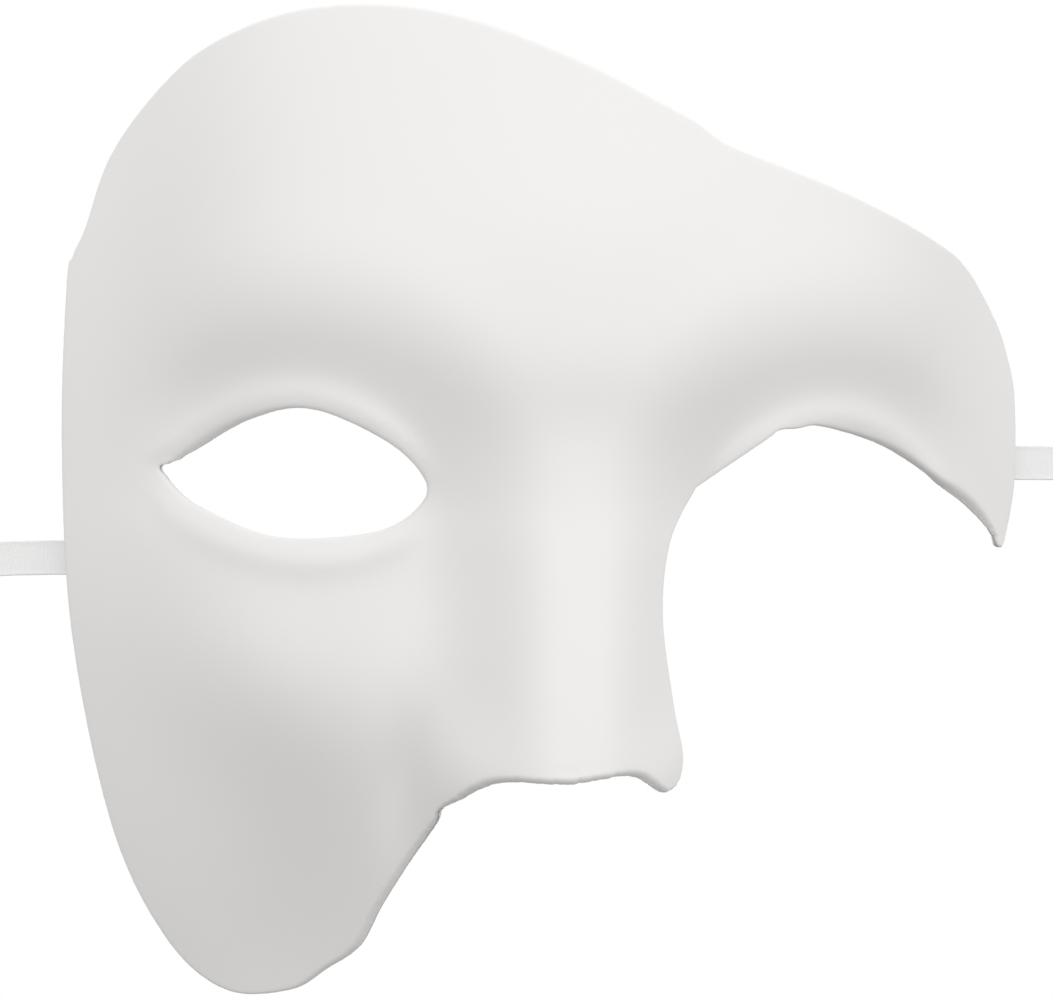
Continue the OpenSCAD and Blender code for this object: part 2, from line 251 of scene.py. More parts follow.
def face_y(x, z):
    """Depth of the mask's outer face at points of the front view."""
    a = np.sqrt(x * x + MIDDLE_ROUND * MIDDLE_ROUND) - MIDDLE_ROUND
    y = head_y(x, z) + eye_socket(a, z) - nose_ridge(a, z) - lids(a, z)
    y += CREASE_DEPTH * bump(a, z, *NOSTRIL_CREASE) - NOSTRIL_WING * bump(a, z, *NOSTRIL)
    y += CHEEK_HOLLOW * bump(a, z, *LOWER_CHEEK)
    y -= CHEEKBONE_RISE * bump(a, z, *CHEEKBONE, CHEEKBONE_TURN)
    y += NOSE_SIDE_DEPTH * bump(a, z, *NOSE_SIDE) + TEMPLE_DEPTH * bump(a, z, *TEMPLE)
    return y - FOREHEAD_RISE * bump(a, z, *FOREHEAD) - GLABELLA_RISE * bump(a, z, *GLABELLA)


def face_in(x, z):
    """Unit vectors square to the face, pointing into the wearer's side."""
    h = SLOPE_STEP
    into = [
        face_y(x - h, z) - face_y(x + h, z),
        np.full_like(x, 2 * h),
        face_y(x, z - h) - face_y(x, z + h),
    ]
    return unit(np.stack(into, -1))


def behind(x, z, depth):
    """Points at a depth behind the outer face, measured square to it."""
    x, z = np.asarray(x, float), np.asarray(z, float)
    outer = np.stack([x, face_y(x, z), z], -1)
    return outer + np.asarray(depth, float)[..., None] * face_in(x, z)


# ---------------------------------------------------------------- curves and meshes
def curve_point(p0, p1, p2, p3, t):
    """A point on the smooth curve through p1 and p2, at t from 0 to 1."""
    return 0.5 * (
        2 * p1 + (p2 - p0) * t + (2 * p0 - 5 * p1 + 4 * p2 - p3) * t**2
        + (3 * p1 - p0 - 3 * p2 + p3) * t**3
    )


def closed_curve(points, steps):
    p = np.array(points, float)
    n = len(p)
    return np.array([
        curve_point(p[i - 1], p[i], p[(i + 1) % n], p[(i + 2) % n], k / steps)
        for i in range(n) for k in range(steps)
    ])


def open_curve(points, steps):
    p = np.array(points, float)
    n = len(p) - 1
    made = [
        curve_point(p[max(i - 1, 0)], p[i], p[i + 1], p[min(i + 2, n)], k / steps)
        for i in range(n) for k in range(steps)
    ]
    return np.array(made + [p[n]])


def make_mesh(name, points_mm, faces, material, uvs=None):
    """A smooth-shaded object from points in millimetres, with a UV pair for each point."""
    mesh = bpy.data.meshes.new(name)
    corners_of = [list(map(int, face)) for face in faces]
    mesh.from_pydata((np.asarray(points_mm) * MM).tolist(), [], corners_of)
    mesh.validate()
    mesh.polygons.foreach_set("use_smooth", [True] * len(mesh.polygons))
    if uvs is not None:
        layer = mesh.uv_layers.new(name="uv")
        corners = np.zeros(len(mesh.loops), np.int32)
        mesh.loops.foreach_get("vertex_index", corners)
        layer.data.foreach_set("uv", np.asarray(uvs, np.float32)[corners].ravel())
    mesh.materials.append(material)
    made = bpy.data.objects.new(name, mesh)
    bpy.context.collection.objects.link(made)
    return made


# ---------------------------------------------------------------- materials
# Colours that each material wanders between
SHELL_COLOURS = (0.831, 0.823, 0.807, 1), (0.833, 0.818, 0.804, 1)
RIBBON_COLOURS = (0.88, 0.875, 0.87, 1), (0.93, 0.925, 0.925, 1)
CLOTH_COLOURS = (0.68, 0.67, 0.64, 1), (0.84, 0.83, 0.80, 1)
GLUE_COLOURS = (0.66, 0.62, 0.50, 1), (0.78, 0.75, 0.64, 1)
FLOOR_COLOURS = (0.70, 0.70, 0.70, 1), (0.74, 0.74, 0.74, 1)
# Roughness that each material wanders between
SHELL_ROUGH = (0.46, 0.54)
RIBBON_ROUGH = (0.36, 0.5)
CLOTH_ROUGH = (0.8, 0.95)
GLUE_ROUGH = (0.18, 0.34)
FLOOR_ROUGH = 0.9
# Depth of each material's fine relief in metres, and how strongly it shows
SHELL_GRAIN = (0.00004, 0.3)
RIBBON_GRAIN = (0.00003, 0.6)
CLOTH_GRAIN = (0.00008, 0.8)
GLUE_GRAIN = (0.0002, 0.5)
# Each noise is (scale), (scale, detail) or (scale, detail, roughness). The scale counts per metre,
# or per UV unit on the ribbon and the cloth.
SHELL_MOTTLE = (28.0, 2.0)
SHELL_GLOSS = (160.0,)
SHELL_FINE = (900.0, 2.0)
SHELL_WIDE = (120.0, 2.0)
RIBBON_SLUB = (14.0, 4.0, 0.6)
CLOTH_WEAR = (6.0, 4.0)
GLUE_CLOUD = (300.0,)
GLUE_GLOSS = (700.0,)
GLUE_WAVES = (420.0, 2.0)
FLOOR_CLOUD = (3.0,)
# How much of the coarse grain is in the shell's relief, and of the threads in the ribbon's
WIDE_SHARE = 2.0
THREAD_SHARE = 0.5
# Gloss of the shell, sheen of the ribbon and the cloth, and how deep light goes into the glue
SHELL_SPECULAR = 0.35
RIBBON_SHEEN = 0.3
RIBBON_SHEEN_ROUGH = 0.4
CLOTH_SHEEN = 0.2
GLUE_SCATTER = 0.3
GLUE_SCATTER_M = 0.001
# How much the painted shade of the weave, and the wear, lighten the cloth
WEAVE_PAINTED_SHADE = 0.6
WEAR_LIGHT = 0.4
# Ribs along a ribbon for each ribbon width, threads across it, and cloth threads in 10 mm
RIBBON_RIBS = 22
RIBBON_THREADS = 30
CLOTH_THREADS = 22
CLOTH_UNIT = 10


class Nodes:
    """A short way to write the node tree of a material or a world."""

    def __init__(self, owner, shader):
        self.owner = owner
        owner.use_nodes = True
        self.tree = owner.node_tree
        self.shader = self.tree.nodes[shader]

    def add(self, kind, inputs=None, **settings):
        made = self.tree.nodes.new(kind)
        for key, value in settings.items():
            setattr(made, key, value)
        for key, value in (inputs or {}).items():
            self.put(made.inputs[key], value)
        return made

    def put(self, socket, value):
        if isinstance(value, bpy.types.NodeSocket):
            self.tree.links.new(value, socket)
        else:
            socket.default_value = value

    def noise(self, where, scale, detail=3.0, rough=0.5):
        inputs = {"Vector": where, "Scale": scale, "Detail": detail, "Roughness": rough}
        return self.add("ShaderNodeTexNoise", inputs).outputs["Fac"]

    def spread(self, value, low, high, near=0.3, far=0.7):
        """Carries a value between near and far over to between low and high."""
        inputs = {"Value": value, "From Min": near, "From Max": far}
        inputs |= {"To Min": low, "To Max": high}
        return self.add("ShaderNodeMapRange", inputs).outputs["Result"]

    def math(self, operation, *values):
        made = self.add("ShaderNodeMath", operation=operation)
        for socket, value in zip(made.inputs, values):
            self.put(socket, value)
        return made.outputs[0]

    def blend(self, factor, first, second):
        made = self.add("ShaderNodeMix", data_type="RGBA")
        self.put(made.inputs["Factor"], factor)
        self.put(made.inputs["A"], first)
        self.put(made.inputs["B"], second)
        return made.outputs["Result"]

    def bump(self, height, distance, strength):
        inputs = {"Height": height, "Strength": strength, "Distance": distance}
        made = self.add("ShaderNodeBump", inputs)
        self.put(self.shader.inputs["Normal"], made.outputs["Normal"])

    def waves(self, value, count):
        """A sine wave that repeats this many times while a value goes from 0 to 1."""
        return self.math("SINE", self.math("MULTIPLY", value, 2 * math.pi * count))


def new_material(name):
    return Nodes(bpy.data.materials.new(name), "Principled BSDF")


def shell_material():
    """White matt plastic with a very faint warm mottle and a fine eggshell surface."""
    n = new_material("shell_plastic")
    where = n.add("ShaderNodeTexCoord").outputs["Object"]
    patches = n.spread(n.noise(where, *SHELL_MOTTLE), 0.0, 1.0)
    n.put(n.shader.inputs["Base Color"], n.blend(patches, *SHELL_COLOURS))
    n.put(n.shader.inputs["Roughness"], n.spread(n.noise(where, *SHELL_GLOSS), *SHELL_ROUGH))
    n.shader.inputs["Specular IOR Level"].default_value = SHELL_SPECULAR
    fine = n.noise(where, *SHELL_FINE)
    wide = n.noise(where, *SHELL_WIDE)
    n.bump(n.math("MULTIPLY_ADD", wide, WIDE_SHARE, fine), *SHELL_GRAIN)
    return n.owner


def ribbon_material():
    """White satin ribbon, with fine crosswise ribs and a sheen."""
    n = new_material("ribbon_satin")
    uv = n.add("ShaderNodeTexCoord").outputs["UV"]
    apart = n.add("ShaderNodeSeparateXYZ", {"Vector": uv})
    ribs = n.waves(apart.outputs["Y"], RIBBON_RIBS)
    threads = n.waves(apart.outputs["X"], RIBBON_THREADS)
    slub = n.noise(uv, *RIBBON_SLUB)
    n.put(n.shader.inputs["Base Color"], n.blend(n.spread(slub, 0.0, 1.0), *RIBBON_COLOURS))
    n.put(n.shader.inputs["Roughness"], n.spread(slub, *RIBBON_ROUGH))
    n.shader.inputs["Sheen Weight"].default_value = RIBBON_SHEEN
    n.shader.inputs["Sheen Roughness"].default_value = RIBBON_SHEEN_ROUGH
    n.bump(n.math("MULTIPLY_ADD", threads, THREAD_SHARE, ribs), *RIBBON_GRAIN)
    return n.owner


def cloth_material():
    """Plain-woven white cotton, with painted shade in the dips between its threads."""
    n = new_material("patch_cotton")
    uv = n.add("ShaderNodeTexCoord").outputs["UV"]
    apart = n.add("ShaderNodeSeparateXYZ", {"Vector": uv})
    warp = n.waves(apart.outputs["X"], CLOTH_THREADS)
    weft = n.waves(apart.outputs["Y"], CLOTH_THREADS)
    weave = n.math("MULTIPLY", warp, weft)
    worn = n.spread(n.noise(uv, *CLOTH_WEAR), 0.0, WEAR_LIGHT)
    # The weave's colour is painted shade: darker in the dips between threads and lighter on their
    # tops, where the bump is high. The wear adds lighter patches at random.
    weave_shade_and_wear = n.math("ADD", n.spread(weave, 0.0, WEAVE_PAINTED_SHADE, -1.0, 1.0), worn)
    n.put(n.shader.inputs["Base Color"], n.blend(weave_shade_and_wear, *CLOTH_COLOURS))
    n.put(n.shader.inputs["Roughness"], n.spread(weave, *CLOTH_ROUGH, -1.0, 1.0))
    n.shader.inputs["Sheen Weight"].default_value = CLOTH_SHEEN
    n.bump(weave, *CLOTH_GRAIN)
    return n.owner


def glue_material():
    """Milky hot-melt glue, glossy and slightly wavy."""
    n = new_material("hot_melt_glue")
    where = n.add("ShaderNodeTexCoord").outputs["Object"]
    cloud = n.spread(n.noise(where, *GLUE_CLOUD), 0.0, 1.0)
    n.put(n.shader.inputs["Base Color"], n.blend(cloud, *GLUE_COLOURS))
    n.put(n.shader.inputs["Roughness"], n.spread(n.noise(where, *GLUE_GLOSS), *GLUE_ROUGH))
    n.shader.inputs["Subsurface Weight"].default_value = GLUE_SCATTER
    n.shader.inputs["Subsurface Scale"].default_value = GLUE_SCATTER_M
    n.bump(n.noise(where, *GLUE_WAVES), *GLUE_GRAIN)
    return n.owner


# ---------------------------------------------------------------- ribbon ties
RIBBON_W = 6.35
RIBBON_T = 0.26
# The woven edge is thicker by SELVEDGE_T at a share of the half width: (share, half width)
SELVEDGE_T = 0.16
SELVEDGE_AT = (0.94, 0.04)
# Points of the cross-section, as shares of the half width, and how square its ends are
RIBBON_SHARES = [-1, -0.985, -0.94, -0.88, -0.6, -0.2, 0.2, 0.6, 0.88, 0.94, 0.985, 1]
RIBBON_SQUARE = 40
RIBBON_STEPS = 8
# The loose end is cut on a slant: how far one edge runs on, and the length that is drawn out
END_SLANT = 2.2
END_LENGTH = 6

# Height in the front view at which each ribbon is glued, and its x at points of the glued part
RIGHT_Z = -17.5
LEFT_Z = 6
GLUED_RIGHT = [-76, -79, -82, -85, -88]
GLUED_LEFT = [77.5, 80, 82.5, 85.3, 88]
# Room between a ribbon's middle and the glue, as the face curves away under its edges
RIBBON_ROOM = 0.15
# The free part of each ribbon, (x, y, z), which leaves the inner face at the first point
FREE_RIGHT = [
    (-86.4, 54.1, -17.5), (-89.2, 56.5, -17.6), (-92.4, 58.2, -17.8), (-96, 59, -18),
    (-100, 59, -18.3), (-104, 59, -18.7), (-109, 59, -20), (-114, 59, -22.5), (-119, 59, -26.5),
    (-123, 59, -32), (-126, 59, -39), (-127, 59, -48), (-127, 59, -62), (-125, 60, -80),
    (-124, 61, -100), (-125, 62, -120), (-127, 62, -140), (-128, 61, -160), (-127, 60, -180),
    (-125, 59, -200), (-123, 60, -220), (-123, 62, -240), (-125, 63, -260), (-127, 63, -280),
    (-127, 62, -308),
]
FREE_LEFT = [
    (86.5, 53.6, 6), (89.6, 55.9, 6.1), (93, 57.2, 6.2), (96.6, 57.7, 6.3), (100, 57.7, 6.4),
    (104, 57.7, 6.3), (109, 58, 5.5), (114, 58, 3.5), (119, 58, 0), (123, 58, -5),
    (126, 58, -12), (127, 58, -21), (127, 59, -35), (126, 60, -55), (124, 61, -75),
    (123, 61, -95), (124, 60, -115), (126, 59, -135), (127, 59, -155), (126, 60, -175),
    (124, 62, -195), (123, 63, -215), (124, 63, -235), (126, 62, -255), (127, 61, -282),
]
# Direction across the ribbon at each point of a route: upright at first, then turned as it hangs
ACROSS_RIGHT = [(0, 0, 1)] * 10 + [
    (0, 0.5, 0.87), (0, 0.87, 0.5), (0, 1, 0.2), (0, 1, 0), (0, 1, 0),
    (0, 1, 0), (0.2, 0.98, 0), (0.4, 0.9, 0), (0.6, 0.8, 0), (0.8, 0.6, 0),
    (0.9, 0.4, 0), (0.98, 0.2, 0), (1, 0, 0), (0.98, -0.2, 0), (0.95, -0.3, 0),
    (0.98, -0.2, 0), (1, 0, 0), (0.98, 0.2, 0), (0.95, 0.3, 0),
]
ACROSS_LEFT = [(-x, y, z) for x, y, z in ACROSS_RIGHT]


def ribbon_route(glued, z, free):
    """A ribbon's whole route: along the inner face at one height, then free."""
    depth = WALL + 2 * FIT_GAP + GLUE_T + CAD_RIBBON_T / 2 + RIBBON_ROOM
    held = behind(glued, np.full(len(glued), z), np.full(len(glued), depth))
    return np.concatenate([held, held[-1] + np.array(free[1:]) - free[0]])


def ribbon_section():
    """A ribbon's cross-section as a loop: (share of half width, distance from its middle)."""
    place, half_w = SELVEDGE_AT
    top = []
    for u in RIBBON_SHARES:
        selvedge = math.exp(-(((abs(u) - place) / half_w) ** 2)) * SELVEDGE_T / 2
        square = math.sqrt(max(1 - abs(u) ** RIBBON_SQUARE, 0.0))
        top.append((u, (RIBBON_T / 2 + selvedge) * square))
    return top + [(u, -t) for u, t in top][-2:0:-1]


def make_ribbon(name, route, across, material):
    """A flat satin ribbon, glued at its start, cut on a slant at its loose end."""
    path = open_curve(route, RIBBON_STEPS)
    wide = open_curve(across, RIBBON_STEPS)
    along = unit(np.gradient(path, axis=0))
    wide = unit(wide - (wide * along).sum(-1, keepdims=True) * along)
    square = np.cross(along, wide)
    run = np.concatenate([[0], np.cumsum(np.linalg.norm(np.diff(path, axis=0), axis=1))])
    loop = ribbon_section()
    points, uvs = [], []
    for i in range(len(path)):
        cut = END_SLANT * max(0.0, 1 - (run[-1] - run[i]) / END_LENGTH)
        for u, t in loop:
            spot = path[i] + wide[i] * u * RIBBON_W / 2 + square[i] * t + along[i] * u * cut
            points.append(spot)
            uvs.append((u / 2 + 0.5, run[i] / RIBBON_W))
    sides = len(loop)
    last = (len(path) - 1) * sides
    faces = []
    for start in range(0, last, sides):
        for k in range(sides):
            a, b = start + k, start + (k + 1) % sides
            faces.append((a, b, b + sides, a + sides))
    faces += [tuple(range(sides))[::-1], tuple(last + k for k in range(sides))]
    made = make_mesh(name, points, faces, material, uvs)
    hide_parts(name.replace("_satin", ""))
    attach(made, "root")
    return made


satin = ribbon_material()
for name, glued, z, free, across in (
    ("ribbon_right_satin", GLUED_RIGHT, RIGHT_Z, FREE_RIGHT, ACROSS_RIGHT),
    ("ribbon_left_satin", GLUED_LEFT, LEFT_Z, FREE_LEFT, ACROSS_LEFT),
):
    route = ribbon_route(glued, z, free)
    make_ribbon(name, route, across, satin)

# ---------------------------------------------------------------- the moulded shell
# Spacing of the points inside the sheet and along the rim, and the grid's ends in x and in z
MESH_STEP = 1.0
RIM_STEP = 0.45
GRID_X = (-92, 92)
GRID_Z = (-98, 87)
# Shares of their spacing that rings and grid keep from the rim and from each other
RING_CLEAR = 0.85
GRID_CLEAR = 0.7
# How near two points of the sheet may lie before they count as one
SAME_POINT = 1e-5
# Rings of points behind the rounded edge: the last one outside, and those inside the shell
OUTER_RING = 0.6
INNER_RINGS = (0.8, 1.6, 2.4)
CURVE_STEPS = 24
# How many points to either side the shift of the rim is averaged over
SHIFT_REACH = 5
# A shallow groove left by the trimming knife above the nose's cut: its middle [x, z], its reach
# along the cut and across it, how far in from the rim it runs, and its section
GROOVE_AT = (0, -51)
GROOVE_REACH = (7.5, 5)
GROOVE_IN = 1.5
GROOVE_HALF_W = 0.3
GROOVE_DEPTH = 0.16
# The cut shows from the front where its wall leans outward by more than this
CUT_SHOWS = 0.06
CUT_FADE = 0.04
CUT_REACH = 14
# Steps round the rounded outer edge, the radius of the inner edge, and where its rings lie, as
# shares of that radius
ROUND_STEPS = 7
INNER_ROUND = 0.15
INNER_DROPS = (1.0, 0.29)
# How far the rim stands in past a rounded edge that is wider than the wall, and how softly it ends
LIP = 0.25
LIP_FADE = 0.5
# The rounded edge is this much deeper than it is wide
EDGE_STEEP = 1.6
# The trimmed edge wanders by ROUGH, and by TRIM_MARKS more near these points: (x, z, reach)
ROUGH = 0.04
TRIM_MARKS = 0.14
MARKED = [(19, -53, 5), (2, -52, 9), (-18, -57, 6), (84, -8, 4)]
WANDER_LENGTHS = (1.3, 2.1, 3.4, 5.9)
SHELL_SEED = 4


def inside(points, loop):
    """Which points of the front view lie inside a closed loop."""
    x, z = points[:, 0], points[:, 1]
    found = np.zeros(len(points), bool)
    for (x0, z0), (x1, z1) in zip(loop, np.roll(loop, -1, 0)):
        if z0 != z1:
            crossing = ((z0 > z) != (z1 > z)) & (x < (x1 - x0) * (z - z0) / (z1 - z0) + x0)
            found ^= crossing
    return found


def wander(run, x, z, rng):
    """How far the trimmed edge strays from its line at a distance along it."""
    share = sum(bump(x, z, (m[0], m[1]), (m[2], m[2])) for m in MARKED)
    waves = [np.sin(2 * math.pi * run / w + rng.uniform(0, 2 * math.pi)) for w in WANDER_LENGTHS]
    return (ROUGH + TRIM_MARKS * np.minimum(share, 1)) * sum(waves) / len(waves)


def evenly(curve):
    """A closed curve's points, spread evenly along it."""
    ends = np.concatenate([curve, curve[:1]])
    run = np.concatenate([[0], np.cumsum(np.linalg.norm(np.diff(ends[:, :2], axis=0), axis=1))])
    at = np.linspace(0, run[-1], round(run[-1] / RIM_STEP), endpoint=False)
    return np.stack([np.interp(at, run, column) for column in ends.T], -1)


def smooth(values, reach):
    """Values round a loop, averaged with those of the nearest points on either side."""
    return sum(np.roll(values, k, 0) for k in range(-reach, reach + 1)) / (2 * reach + 1)


def rim_depth(radius):
    """How far behind the outer face the cut's inner edge lies."""
    return np.maximum(EDGE_STEEP * radius + LIP, WALL)


def trimmed_loop(outline, sign, rng):
    """A loop's points, directions that lead out over the rim along the face, and edge radii.

    The loop is moved so that what shows of the rounded edge, or of the cut behind it, lies on the
    outline when it is seen from the front.
    """
    curve = evenly(closed_curve(outline, CURVE_STEPS))
    x, z, radius = curve.T
    edge = np.stack([x, face_y(x, z), z], -1)
    tangent = unit(smooth(np.roll(edge, -1, 0) - np.roll(edge, 1, 0), 1))
    into = face_in(x, z)
    out = sign * unit(np.cross(tangent, into))
    across = sign * unit(np.stack([-tangent[:, 2], np.zeros_like(x), tangent[:, 0]], -1))
    wide, deep = (out * across).sum(-1), (into * across).sum(-1)
    turn = np.linspace(0, math.pi / 2, 3 * ROUND_STEPS)
    steep = EDGE_STEEP * deep[:, None]
    arc = radius[:, None] * (steep * (1 - np.cos(turn)) - wide[:, None] * (1 - np.sin(turn)))
    run = np.cumsum(np.linalg.norm(edge - np.roll(edge, 1, 0), axis=1))
    cut_shows = smooth(1 - below(deep, CUT_SHOWS, CUT_FADE), CUT_REACH)[:, None]
    back = rim_depth(radius)[:, None] * into[:, [0, 2]]
    bulge = (arc.max(1) / wide)[:, None] * out[:, [0, 2]]
    move = wander(run, x, z, rng)[:, None] * out[:, [0, 2]]
    move -= smooth(cut_shows * back + (1 - cut_shows) * bulge, SHIFT_REACH)
    return curve[:, :2] + move, out[:, [0, 2]], radius


def nearest(points, loops):
    """Distance along the face from points to the rim, and the radius of the edge there."""
    rim = np.concatenate([loop for loop, _, _ in loops])
    radii = np.concatenate([radius for _, _, radius in loops])
    edge = np.stack([rim[:, 0], face_y(rim[:, 0], rim[:, 1]), rim[:, 1]], -1)
    spots = np.stack([points[:, 0], face_y(points[:, 0], points[:, 1]), points[:, 1]], -1)
    tree = KDTree(len(edge))
    for i, spot in enumerate(edge):
        tree.insert(spot, i)
    tree.balance()
    found = [tree.find(spot) for spot in spots]
    return np.array([f[2] for f in found]), radii[[f[1] for f in found]]


def sheet(loops, rings_of):
    """Points and triangles of the front view that fill the space between the loops.

    rings_of gives the distances from the rim of the rings of points that follow it. The first
    ring is the edge of the sheet.
    """
    rows = np.arange(*GRID_Z, MESH_STEP * math.sqrt(3) / 2)
    columns = np.arange(*GRID_X, MESH_STEP)
    grid = [(x + (r % 2) * MESH_STEP / 2, z) for r, z in enumerate(rows) for x in columns]
    grid = np.array(grid)
    borders, edges, count, inner = [], [], 0, []
    for loop, out, radius in loops:
        first, *others = rings_of(radius)
        borders.append(loop - first[:, None] * out)
        size = len(loop)
        edges += [(count + i, count + (i + 1) % size) for i in range(size)]
        count += size
        for ring in others:
            spots = loop - ring[:, None] * out
            inner.append(spots[nearest(spots, loops)[0] > RING_CLEAR * ring])
    grid = grid[inside(grid, borders[0]) & ~inside(grid, borders[1])]
    distance, radius = nearest(grid, loops)
    grid = grid[distance > rings_of(radius)[-1] + GRID_CLEAR * MESH_STEP]
    flat = np.concatenate(borders + inner + [grid])
    spots = [Vector(p) for p in flat.tolist()]
    _, _, tris, origin, _, _ = delaunay_2d_cdt(spots, edges, [], 0, SAME_POINT)
    index = np.array([o[0] for o in origin])
    tris = index[np.array([t for t in tris if len(t) == 3])]
    middle = flat[tris].mean(1)
    tris = tris[inside(middle, borders[0]) & ~inside(middle, borders[1])]
    a, b, c = flat[tris[:, 0]], flat[tris[:, 1]], flat[tris[:, 2]]
    turn = (b[:, 0] - a[:, 0]) * (c[:, 1] - a[:, 1]) - (b[:, 1] - a[:, 1]) * (c[:, 0] - a[:, 0])
    tris[turn < 0] = tris[turn < 0][:, ::-1]
    return flat, tris


def make_shell(material):
    """The moulded shell: an outer and an inner face, a rounded outer edge and a trimmed cut."""
    rng = np.random.default_rng(SHELL_SEED)
    loops = [trimmed_loop(RIM, 1, rng), trimmed_loop(EYE, -1, rng)]
    turns = np.linspace(math.pi / 2, 0, ROUND_STEPS)

    def outer_rings(radius):
        return [radius * (1 - math.sin(t)) for t in turns] + [radius + OUTER_RING]

    def inner_rings(radius):
        return [0 * radius + d for d in (INNER_ROUND, *INNER_RINGS)]

    front, front_tris = sheet(loops, outer_rings)
    distance, radius = nearest(front, loops)
    left = np.clip(radius - distance, 0, radius)
    groove = bump(front[:, 0], front[:, 1], GROOVE_AT, GROOVE_REACH)
    groove *= ridge(distance - GROOVE_IN, GROOVE_HALF_W)
    rounding = EDGE_STEEP * (radius - np.sqrt(radius**2 - left**2))
    outer = behind(front[:, 0], front[:, 1], rounding + GROOVE_DEPTH * groove)
    back, back_tris = sheet(loops, inner_rings)
    distance, radius = nearest(back, loops)
    lip = (rim_depth(radius) - WALL) * below(distance, radius, LIP_FADE)
    inner = behind(back[:, 0], back[:, 1], WALL + lip)
    points = [outer, inner]
    faces = front_tris.tolist() + (back_tris[:, ::-1] + len(front)).tolist()
    count, start = len(front) + len(back), 0
    for (loop, out, radius), sign in zip(loops, (1, -1)):
        size = len(loop)
        depth = rim_depth(radius)
        rings = [np.arange(start, start + size)]
        for drop in INNER_DROPS:
            in_by = INNER_ROUND * (1 - math.sqrt(1 - (1 - drop) ** 2))
            spots = loop - in_by * out
            points.append(behind(spots[:, 0], spots[:, 1], depth - INNER_ROUND * drop))
            rings.append(np.arange(count, count + size))
            count += size
        rings.append(np.arange(start, start + size) + len(front))
        start += size
        for near, far in zip(rings, rings[1:]):
            for i in range(size):
                j = (i + 1) % size
                quad = (near[i], far[i], far[j], near[j])
                faces.append(quad if sign > 0 else quad[::-1])
    made = make_mesh("mask_shell_skin", np.concatenate(points), faces, material)
    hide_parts("mask_shell")
    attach(made, "root")
    return made


make_shell(shell_material())

# ---------------------------------------------------------------- glue beds and cloth patches
# Middles and sizes in the front view
GLUE_RIGHT = (-80, RIGHT_Z)
GLUE_LEFT = (81, LEFT_Z)
GLUE_SIZE = (8, 8.4)
PATCH_RIGHT = (-78, RIGHT_Z)
PATCH_LEFT = (79, 7.5)
PATCH_SIZE = (11, 10.8)
# What each patch was cut to, before it was glued down over the ribbon (metres)
PATCH_T = 0.5
# A pad's RINGS of points lie at these shares of the way out. Its FORM says how many points a ring
# has, how square the outline is and how much it strays. Its EDGE says how square the edge is, and
# the least share of its thickness.
GLUE_RINGS = np.array([0.02, 0.3, 0.55, 0.75, 0.88, 0.96, 1.0])
GLUE_FORM = {"sides": 48, "power": 4, "wobble": 0.05}
GLUE_EDGE = (6, 0.02)
PATCH_RINGS = np.concatenate([np.linspace(0.03, 0.94, 26), [0.965, 0.985, 1.0]])
PATCH_FORM = {"sides": 96, "power": 9, "wobble": 0.012}
PATCH_EDGE = (30, 0.03)
# Glue squeezed out on both sides of the ribbon: (height, distance from its middle, half width)
SQUEEZE = (0.35, 3.6, 0.5)
# A patch stays raised over the ribbon this far past the glue, and this far above and below the
# ribbon's middle, and comes down to the shell over PATCH_FADE
PATCH_MARGIN = 0.6
PATCH_RISE_AT = 4.8
PATCH_FADE = 0.5
# Clearance between a patch and the ribbon under it, in fit gaps
PATCH_GAPS = 6


def pad_points(at, size, rings, sides, power, wobble, seed):
    """Rings of points from the middle of a pad to its edge: share of the way out, x and z."""
    phase = np.random.default_rng(seed).uniform(0, 2 * math.pi, 4)
    angle = np.arange(sides) * 2 * math.pi / sides
    c, s = np.cos(angle), np.sin(angle)
    reach = (np.abs(c) ** power + np.abs(s) ** power) ** (-1 / power)
    reach = reach * (1 + wobble * sum(np.sin((k + 3) * angle + phase[k]) for k in range(4)) / 4)
    share = np.repeat(rings, sides)
    x = at[0] + size[0] / 2 * share * np.tile(c * reach, len(rings))
    z = at[1] + size[1] / 2 * share * np.tile(s * reach, len(rings))
    return share, x, z


def pad_share(share, edge):
    """What share of its full thickness a pad has, at a share of the way out to its edge."""
    return np.sqrt(np.maximum(1 - share ** edge[0], edge[1]))


def make_pad(name, at, size, rings, form, seed, near_of, thick_of, material):
    """A thin closed pad on the inner face, with the depths of its two faces given by functions."""
    share, x, z = pad_points(at, size, rings, seed=seed, **form)
    sides = form["sides"]
    near = near_of(x, z)
    far = near + thick_of(share, x, z)
    n = len(x)
    points = np.concatenate([behind(x, z, near), behind(x, z, far)])
    faces = []
    for r in range(len(rings) - 1):
        for k in range(sides):
            a, b = r * sides + k, r * sides + (k + 1) % sides
            faces.append((a, b, b + sides, a + sides))
            faces.append((n + a, n + a + sides, n + b + sides, n + b))
    last = (len(rings) - 1) * sides
    for k in range(sides):
        a, b = last + k, last + (k + 1) % sides
        faces.append((a, b, n + b, n + a))
    faces += [tuple(range(sides))[::-1], tuple(n + k for k in range(sides))]
    uvs = np.stack([(x - at[0]) / CLOTH_UNIT, (z - at[1]) / CLOTH_UNIT], -1)
    made = make_mesh(name, points, faces, material, np.concatenate([uvs, uvs]))
    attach(made, "root")
    return made


def make_glue(name, at, seed, material):
    """A bed of glue under a ribbon, squeezed out a little on both sides of it."""
    height, place, half_w = SQUEEZE

    def near_of(x, z):
        return np.full_like(x, WALL)

    def thick_of(share, x, z):
        beside = ridge(np.abs(z - at[1]) - place, half_w)
        return (GLUE_T + height * beside) * pad_share(share, GLUE_EDGE)

    made = make_pad(
        name, at, GLUE_SIZE, GLUE_RINGS, GLUE_FORM, seed, near_of, thick_of, material
    )
    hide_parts(name.replace("_hot_melt", ""))


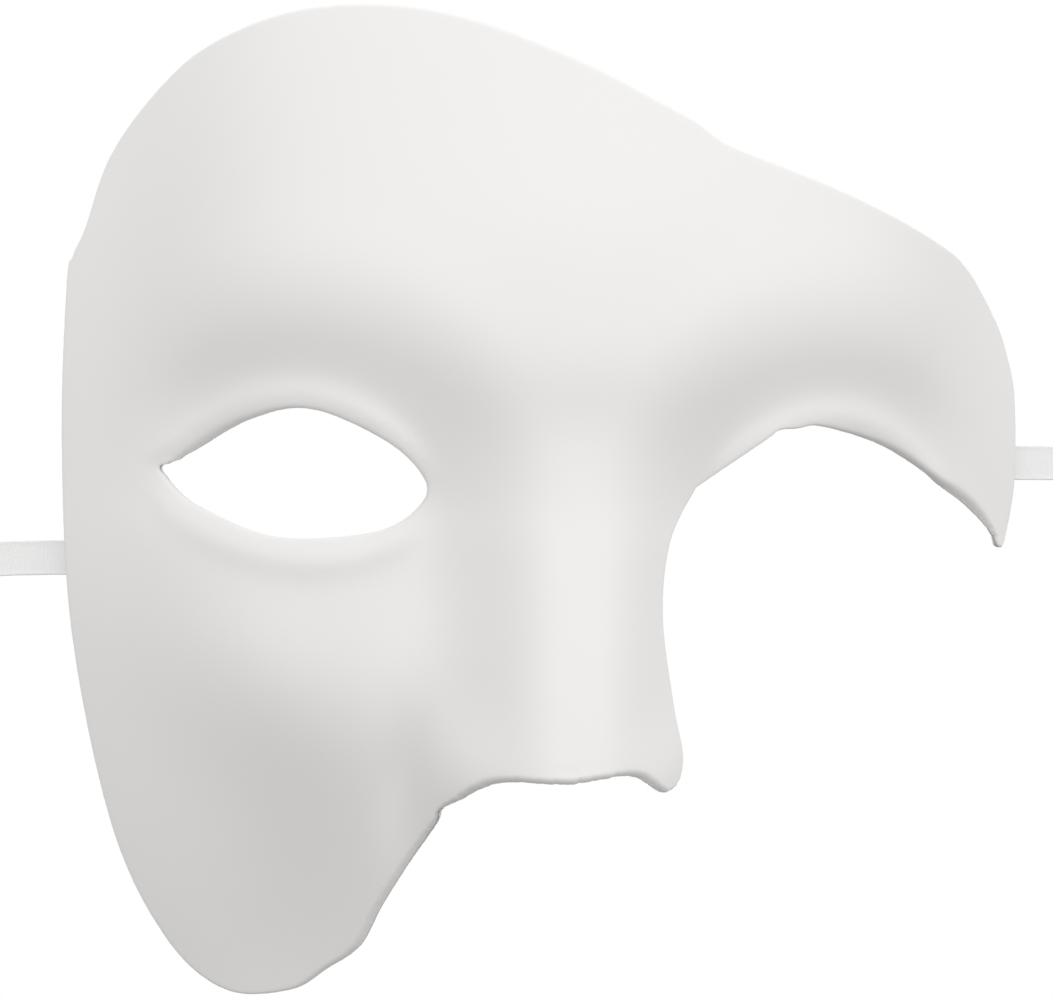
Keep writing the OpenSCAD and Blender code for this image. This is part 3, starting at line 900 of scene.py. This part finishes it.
def make_patch(name, at, glue_at, seed, material):
    """A cloth patch, laid over the glued end of a ribbon."""
    lift = GLUE_T + CAD_RIBBON_T + PATCH_GAPS * FIT_GAP
    inner_end = abs(glue_at[0]) - GLUE_SIZE[0] / 2 - PATCH_MARGIN

    def near_of(x, z):
        over = rise((PATCH_RISE_AT - np.abs(z - glue_at[1])) / PATCH_FADE)
        over *= rise((np.abs(x) - inner_end) / PATCH_FADE)
        return WALL + 2 * FIT_GAP + lift * over

    def thick_of(share, x, z):
        return PATCH_T * pad_share(share, PATCH_EDGE)

    made = make_pad(
        name, at, PATCH_SIZE, PATCH_RINGS, PATCH_FORM, seed, near_of, thick_of, material
    )
    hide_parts(name.replace("_cotton", ""))


glue = glue_material()
cotton = cloth_material()
make_glue("glue_right_hot_melt", GLUE_RIGHT, 3, glue)
make_glue("glue_left_hot_melt", GLUE_LEFT, 5, glue)
make_patch("patch_right_cotton", PATCH_RIGHT, GLUE_RIGHT, 7, cotton)
make_patch("patch_left_cotton", PATCH_LEFT, GLUE_LEFT, 11, cotton)

# ---------------------------------------------------------------- floor and light
FLOOR_Z = -0.36
FLOOR_RADIUS = 1.4
FLOOR_SIDES = 96
# The room's light: directions towards its soft bright sides, and how bright each is
ROOM_LIGHT = [
    ((1, 0, 0), 0.79),
    ((-1, 0, 0), 0.65),
    ((0, 1, 0), 0.69),
    ((0, -1, 0), 1.235),
    ((0, 0, 1), 1.44),
    ((0, 0, -1), 0.08),
]


def make_floor():
    """A pale floor that throws no light back up onto the mask."""
    n = new_material("floor_paint")
    where = n.add("ShaderNodeTexCoord").outputs["Object"]
    n.put(n.shader.inputs["Base Color"], n.blend(n.noise(where, *FLOOR_CLOUD), *FLOOR_COLOURS))
    n.shader.inputs["Roughness"].default_value = FLOOR_ROUGH
    bpy.ops.mesh.primitive_circle_add(
        vertices=FLOOR_SIDES, radius=FLOOR_RADIUS, fill_type="NGON"
    )
    floor = bpy.context.object
    floor.name = "floor"
    floor.location = (0, 0, FLOOR_Z)
    floor.visible_diffuse = False
    floor.visible_glossy = False
    floor.data.materials.append(n.owner)


def make_world():
    """A room that is plain white to the camera, and lights the mask softly from its sides."""
    n = Nodes(bpy.data.worlds.new("studio"), "Background")
    towards = n.add("ShaderNodeTexCoord").outputs["Generated"]
    light = 0.0
    for side, strength in ROOM_LIGHT:
        dot = n.add("ShaderNodeVectorMath", {0: towards, 1: side}, operation="DOT_PRODUCT")
        lean = n.math("MAXIMUM", dot.outputs["Value"], 0.0)
        light = n.math("MULTIPLY_ADD", n.math("MULTIPLY", lean, lean), strength, light)
    seen = n.add("ShaderNodeLightPath").outputs["Is Camera Ray"]
    n.put(n.shader.inputs["Strength"], n.math("MAXIMUM", seen, light))
    n.shader.inputs["Color"].default_value = (1, 1, 1, 1)
    bpy.context.scene.world = n.owner


make_floor()
make_world()
bpy.context.scene.view_settings.view_transform = "Standard"
